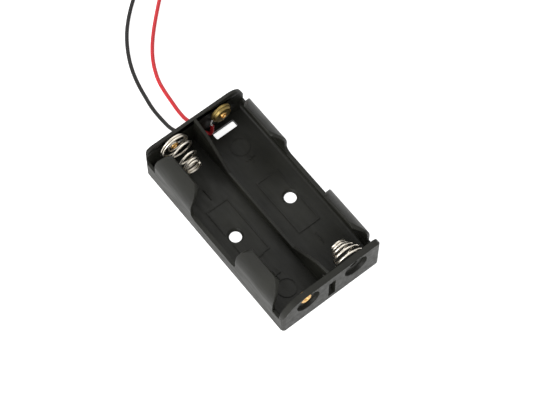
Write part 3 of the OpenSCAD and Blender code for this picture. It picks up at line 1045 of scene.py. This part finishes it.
@dataclass
class ConeSpring:
    """A conical spring: a closed base coil, open turns that narrow, and a closed tip coil.

    Steps are for each turn, softness is in turns, and the angles are in degrees.
    """

    wire: float = 0.6 * MM
    base_r: float = 4.0 * MM
    eye_r: float = 1.1 * MM
    eye_wrap: float = 285.0
    far_start: float = 30.0
    steps: int = 40
    softness: float = 0.12
    roundness: int = 4

    def path(self, winding: Winding) -> list[Vector]:
        """The wire's middle line on its own seat.

        Args:
            winding: the spring's shape.

        Returns:
            The line's points, with its changes of pitch and radius softened.
        """
        radii = [(turn, radius) for turn, radius, _ in winding.rows]
        levels = [(turn, level) for turn, _, level in winding.rows]
        first, last = winding.rows[0][0], winding.rows[-1][0]
        count = round((last - first) * self.steps)
        points = []
        for k in range(count + 1):
            turn = first + (last - first) * k / count
            soft = min(self.softness, turn - first, last - turn)
            radius, level = (
                (look_up(turn - soft, table) + look_up(turn + soft, table)) / 2 * MM
                for table in (radii, levels)
            )
            angle = winding.start + winding.hand * math.tau * turn
            points.append(Vector((radius * math.cos(angle), radius * math.sin(angle), level)))
        return points

    def build_wired(self, layout: Layout) -> bpy.types.Object:
        """Makes the far wall's spring, with an eye round its eyelet.

        Args:
            layout: the places that the pieces share.

        Returns:
            The spring's object.
        """
        winding = Winding(FAR_ROWS, 1, math.radians(self.far_start))
        place = Wall.FAR.place(-layout.bay_x, layout.far_seat, layout.axis_z)
        line = [place @ p for p in self.path(winding)]
        wire = round_wire(line, self.wire, self.roundness)
        return add_piece("wired_spring_wire", wire, Finish.NICKEL, "wired_spring")

    def build_linked(self, layout: Layout) -> bpy.types.Object:
        """Makes the near wall's spring, with a leg to an eye in the other bay.

        Args:
            layout: the places that the pieces share.

        Returns:
            The spring's object.
        """
        across = 2 * layout.bay_x
        leg = math.pi / 2 + math.asin((self.base_r - self.eye_r) / across)
        winding = Winding(NEAR_ROWS, -1, leg)
        wrap = math.radians(self.eye_wrap)
        eye = []
        for k in range(self.steps + 1):
            angle = leg + wrap * (1 - k / self.steps)
            eye.append(Vector((self.eye_r * math.cos(angle) - across, self.eye_r * math.sin(angle),
                               self.wire / 2)))
        place = Wall.NEAR.place(layout.bay_x, layout.near_seat, layout.axis_z)
        line = [place @ p for p in eye + self.path(winding)]
        wire = round_wire(line, self.wire, self.roundness)
        return add_piece("linked_spring_wire", wire, Finish.NICKEL, "linked_spring")


@dataclass
class StampedContact:
    """The raised contact pressed from sheet: a foot ring, a step and a crown with a hole."""

    sheet: float = 0.3 * MM
    step_h: float = 0.75 * MM
    crown_r: float = 2.5 * MM
    hole_r: float = 0.8 * MM
    slope: float = 0.2 * MM
    edge: float = 0.07 * MM

    def build(self, layout: Layout) -> bpy.types.Object:
        """Makes the contact on the far wall.

        Args:
            layout: the places that the pieces share.

        Returns:
            The contact's object.
        """
        low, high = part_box("positive_contact")
        foot_r, height = (high.x - low.x) / 2, high.y - low.y
        sheet, rise = self.sheet, self.crown_r + self.slope
        outside = [
            (self.hole_r, height), (self.crown_r, height), (rise, self.step_h), (foot_r, self.step_h),
            (foot_r, 0),
        ]
        inside = [
            (foot_r - sheet, 0), (foot_r - sheet, self.step_h - sheet), (rise - sheet, self.step_h - sheet),
            (self.crown_r - sheet, height - sheet), (self.hole_r, height - sheet),
        ]
        place = Wall.FAR.place(layout.bay_x, layout.far_seat, layout.axis_z)
        pressing = turned(outside + inside, place, self.edge)
        return add_piece("contact_pressing", pressing, Finish.SHADE_DARKENED_BRASS, "positive_contact")


@dataclass
class Eyelet:
    """A rolled eyelet through an end wall, with a flange outside and a rolled head inside."""

    node: str
    wall: Wall
    head_r: float
    thickness: float = 0.35 * MM
    barrel_r: float = 0.75 * MM
    bore_r: float = 0.45 * MM
    mouth_r: float = 0.64 * MM
    mouth_depth: float = 0.4 * MM
    steps: int = 10

    def roll(self, inner: float, outer: float, level: float, rise: float) -> list[tuple[float, float]]:
        """Works out the rounded outline of a rolled rim.

        Args:
            inner: the radius of the rim's inner edge.
            outer: that of its outer edge.
            level: the height of both edges.
            rise: how far the rim's top stands above them.

        Returns:
            Radius and height of its points, from the inner edge to the outer one.
        """
        middle, half = (inner + outer) / 2, (outer - inner) / 2
        angles = [math.pi * (1 - k / self.steps) for k in range(self.steps + 1)]
        return [(middle + half * math.cos(a), level + rise * math.sin(a)) for a in angles]

    def build(self) -> bpy.types.Object:
        """Makes the eyelet where its node is.

        Returns:
            The eyelet's object.
        """
        low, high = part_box(self.node)
        middle = (low + high) / 2
        grip = high.y - low.y - 2 * self.thickness
        seat = high.y - self.thickness if self.wall is Wall.FAR else low.y + self.thickness
        head = self.roll(self.mouth_r, self.head_r, grip, self.thickness)
        flange = self.roll(self.mouth_r, (high.x - low.x) / 2, 0, -self.thickness)
        profile = (head + [(self.barrel_r, grip), (self.barrel_r, 0)] + flange[::-1]
                   + [(self.bore_r, self.mouth_depth), (self.bore_r, grip - self.mouth_depth)])
        place = self.wall.place(middle.x, seat, middle.z)
        return add_piece(self.node + "_rolled", turned(profile, place, 0), Finish.EYELET, self.node)


# --- tray -------------------------------------------------------------------------------


@dataclass
class Tray:
    """The moulded tray with its edges softened, as a mould leaves them.

    Edges that turn by more than sharp are softened, and those under flat are dissolved, both in degrees.
    Edges stay as they are next to one shorter than shortest, and below lowest.
    """

    merge: float = 0.04 * MM
    flat: float = 0.3
    sharp: float = 28.0
    shortest: float = 0.25 * MM
    lowest: float = 1.6 * MM
    edge: float = 0.1 * MM
    edge_steps: int = 2
    lip_foot: Triple = (15.2 * MM, 9.3 * MM, 5.0 * MM)
    foot_room: float = 1.3 * MM
    # Place and reach, in millimetres, of the corners too crowded for a rounding: the divider's two ends, the
    # leg's notch, the divider's foot on the far wall, and the far right corner beside the lip's gap.
    crowded_spots: tuple[tuple[float, float, float, float], ...] = (
        (-2, -27, 10, 1.5), (0, -27, 9.5, 2.2), (0, 27, 12.3, 2.5), (0.4, 26.3, 8.1, 1.5), (16, 28, 9, 1.5),
    )

    def stays_sharp(self, point: Vector) -> bool:
        """Tells whether the edges at a point stay as they are.

        Args:
            point: a corner of the tray's mesh.

        Returns:
            True low down, at a lip's foot and in a crowded corner.
        """
        return (
            point.z < self.lowest
            or all(abs(abs(c) - f) < self.foot_room for c, f in zip(point, self.lip_foot))
            or any((point - Vector((x, y, z)) * MM).length < reach * MM
                   for x, y, z, reach in self.crowded_spots)
        )

    def build(self, node: bpy.types.Object) -> bpy.types.Object:
        """Makes the softened tray from a copy of its node's mesh.

        Args:
            node: the tray's node.

        Returns:
            The tray's object.
        """
        shape = bmesh.new()
        shape.from_mesh(node.data)
        bmesh.ops.remove_doubles(shape, verts=shape.verts, dist=self.merge)
        bmesh.ops.dissolve_limit(shape, angle_limit=math.radians(self.flat), verts=shape.verts,
                                 edges=shape.edges, use_dissolve_boundaries=False)
        crowded = {v for e in shape.edges if e.calc_length() < self.shortest for v in e.verts}
        soft = [
            e for e in shape.edges
            if e.is_manifold and e.calc_face_angle(0) > math.radians(self.sharp)
            and not any(v in crowded or self.stays_sharp(v.co) for v in e.verts)
        ]
        bmesh.ops.bevel(shape, geom=soft, offset=self.edge, offset_type="OFFSET", affect="EDGES",
                        segments=self.edge_steps, profile=0.5, material=-1, clamp_overlap=False)
        mesh = bpy.data.meshes.new("tray_moulding")
        shape.to_mesh(mesh)
        shape.free()
        piece = add_piece("tray_moulding", mesh, Finish.PLASTIC, "tray")
        even = piece.modifiers.new("even_normals", "WEIGHTED_NORMAL")
        even.keep_sharp = True
        LOG.info("tray_moulding: %d edges softened", len(soft))
        return piece


def main() -> None:
    """Builds the holder's looks in order."""
    logging.basicConfig(level=logging.INFO, format="%(name)s: %(message)s")
    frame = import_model()
    layout = Layout.read()
    ViewCamera().build()
    Lead("red", Finish.RED, -1, RED_ROUTE).build()
    Lead("black", Finish.BLACK, 1, BLACK_ROUTE).build()
    Studio().build(layout.base)
    Tray().build(frame["nodes"]["tray"])
    spring = ConeSpring()
    spring.build_wired(layout)
    spring.build_linked(layout)
    StampedContact().build(layout)
    Eyelet("positive_eyelet", Wall.FAR, head_r=1.05 * MM).build()
    Eyelet("spring_eyelet", Wall.FAR, head_r=1.15 * MM).build()
    Eyelet("link_eyelet", Wall.NEAR, head_r=1.15 * MM).build()
    InnerWire("red", Finish.RED, 1, RED_COVERED, RED_BARE).build(layout)
    InnerWire("black", Finish.BLACK, -1, BLACK_COVERED, BLACK_BARE).build(layout)


if __name__ == "__main__":
    main()
